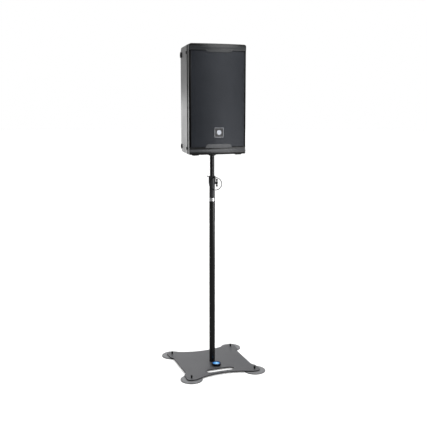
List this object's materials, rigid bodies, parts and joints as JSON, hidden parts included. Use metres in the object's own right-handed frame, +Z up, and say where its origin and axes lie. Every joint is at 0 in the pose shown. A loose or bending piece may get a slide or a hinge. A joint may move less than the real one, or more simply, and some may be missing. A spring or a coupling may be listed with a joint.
{
  "type": "pa speaker",
  "caption": "Powered two-way loudspeaker with a bowed steel grille, on a telescoping pole with a flat levelled steel base.",
  "frame": {"origin": "on the floor under the centre of the pole, at the bottom centre of the whole bounding box", "axes": "+Z up along the pole; the loudspeaker and the base slot face -Y; +X is the side with the clamp knob"},
  "size_m": [0.576, 0.576, 2.0896],
  "materials": {
    "cabinet_plastic": "fine textured black polypropylene, satin sheen",
    "bezel_plastic": "smooth dark grey trim, satin",
    "grille_steel": "perforated steel, black powder coat",
    "acoustic_foam": "open-cell black foam",
    "badge_black": "gloss black",
    "badge_silver": "brushed silver",
    "cast_frame": "black coated casting",
    "cone_paper": "coated black paper",
    "rubber_black": "matt black rubber",
    "spider_cloth": "resin-treated corrugated cloth",
    "coil_copper": "enamelled copper winding",
    "ferrite": "dark ceramic magnet and driver can",
    "zinc_steel": "zinc-plated steel",
    "circuit_board": "green circuit board",
    "panel_metal": "dark grey painted panel",
    "heat_sink_aluminium": "extruded aluminium",
    "display_glass": "black glass window",
    "socket_plastic": "moulded black nylon",
    "base_coat": "charcoal textured powder coat on steel",
    "knob_black": "black levelling screw",
    "tube_black": "smooth semi-gloss black on steel tube",
    "band_silver": "bright ring",
    "collar_cast": "grey-black coated casting",
    "level_blue": "blue window in a black ring"
  },
  "bodies": {
    "stand": {"base_plate": "base_coat", "pole_bolt": "zinc_steel", "lower_tube": "tube_black", "tube_band": "band_silver", "collar": "collar_cast", "bubble_level": "level_blue"},
    "leveller_1": {"foot_disc_1": "base_coat", "leveling_knob_1": "knob_black"},
    "leveller_2": {"foot_disc_2": "base_coat", "leveling_knob_2": "knob_black"},
    "leveller_3": {"foot_disc_3": "base_coat", "leveling_knob_3": "knob_black"},
    "leveller_4": {"foot_disc_4": "base_coat", "leveling_knob_4": "knob_black"},
    "clamp": {"clamp_knob": "socket_plastic"},
    "pin": {"safety_pin": "zinc_steel", "pin_ring": "tube_black"},
    "mast": {"upper_tube": "tube_black", "guide_bush": "socket_plastic"},
    "adapter": {"pole_adapter": "socket_plastic"},
    "cone": {"woofer_cone": "cone_paper", "dust_cap": "cone_paper", "voice_coil": "coil_copper"},
    "encoder": {"encoder_knob": "rubber_black"},
    "rocker": {"power_rocker": "socket_plastic"},
    "speaker": {"amp_board": "circuit_board", "amp_panel": "panel_metal", "badge_emblem": "badge_silver", "badge_plate": "badge_black", "baffle": "cabinet_plastic", "bottom_bezel": "bezel_plastic", "cabinet_shell": "cabinet_plastic", "combo_input_1": "socket_plastic", "combo_input_2": "socket_plastic", "compression_driver": "ferrite", "display_window": "display_glass", "grille": "grille_steel", "grille_foam": "acoustic_foam", "heat_sink": "heat_sink_aluminium", "horn_waveguide": "cabinet_plastic", "line_output": "socket_plastic", "mains_inlet": "socket_plastic", "monitor_foot_1": "rubber_black", "monitor_foot_2": "rubber_black", "monitor_foot_3": "rubber_black", "monitor_foot_4": "rubber_black", "pole_socket": "cabinet_plastic", "port_tube_left": "cabinet_plastic", "port_tube_right": "cabinet_plastic", "rubber_foot_1": "rubber_black", "rubber_foot_2": "rubber_black", "rubber_foot_3": "rubber_black", "rubber_foot_4": "rubber_black", "top_bezel": "bezel_plastic", "top_handle": "cabinet_plastic", "woofer_basket": "cast_frame", "woofer_magnet": "ferrite", "woofer_spider": "spider_cloth", "woofer_surround": "rubber_black", "woofer_yoke": "zinc_steel"}
  },
  "joints": [
    {"name": "mast_slide", "type": "slide", "parent": "stand", "child": "mast", "axis": [0, 0, 1], "range_m": [-0.125, 0.35]},
    {"name": "speaker_swivel", "type": "hinge", "parent": "mast", "child": "adapter", "pos_m": [0, 0, 1.447], "axis": [0, 0, 1], "continuous": true},
    {"name": "speaker_lift", "type": "slide", "parent": "adapter", "child": "speaker", "axis": [0, 0, 1], "range_m": [0, 0.1]},
    {"name": "clamp_turn", "type": "hinge", "parent": "stand", "child": "clamp", "pos_m": [0.03, 0, 1.2225], "axis": [1, 0, 0], "range_deg": [-30, 360]},
    {"name": "pin_pull", "type": "slide", "parent": "stand", "child": "pin", "axis": [0.2588, -0.9659, 0], "range_m": [0, 0.03]},
    {"name": "leveller_1_screw", "type": "slide", "parent": "stand", "child": "leveller_1", "axis": [0, 0, 1], "range_m": [-0.0035, 0.0015]},
    {"name": "leveller_2_screw", "type": "slide", "parent": "stand", "child": "leveller_2", "axis": [0, 0, 1], "range_m": [-0.0035, 0.0015]},
    {"name": "leveller_3_screw", "type": "slide", "parent": "stand", "child": "leveller_3", "axis": [0, 0, 1], "range_m": [-0.0035, 0.0015]},
    {"name": "leveller_4_screw", "type": "slide", "parent": "stand", "child": "leveller_4", "axis": [0, 0, 1], "range_m": [-0.0035, 0.0015]},
    {"name": "cone_travel", "type": "slide", "parent": "speaker", "child": "cone", "axis": [0, -1, 0], "range_m": [-0.004, 0.004], "stiffness_N_per_m": 3000, "deforming": ["woofer_surround", "woofer_spider"]},
    {"name": "encoder_turn", "type": "hinge", "parent": "speaker", "child": "encoder", "pos_m": [0.05, 0.2177, 1.842], "axis": [0, 1, 0], "continuous": true},
    {"name": "rocker_tilt", "type": "hinge", "parent": "speaker", "child": "rocker", "pos_m": [0.04, 0.2165, 1.567], "axis": [1, 0, 0], "range_deg": [-14, 0]}
  ]
}
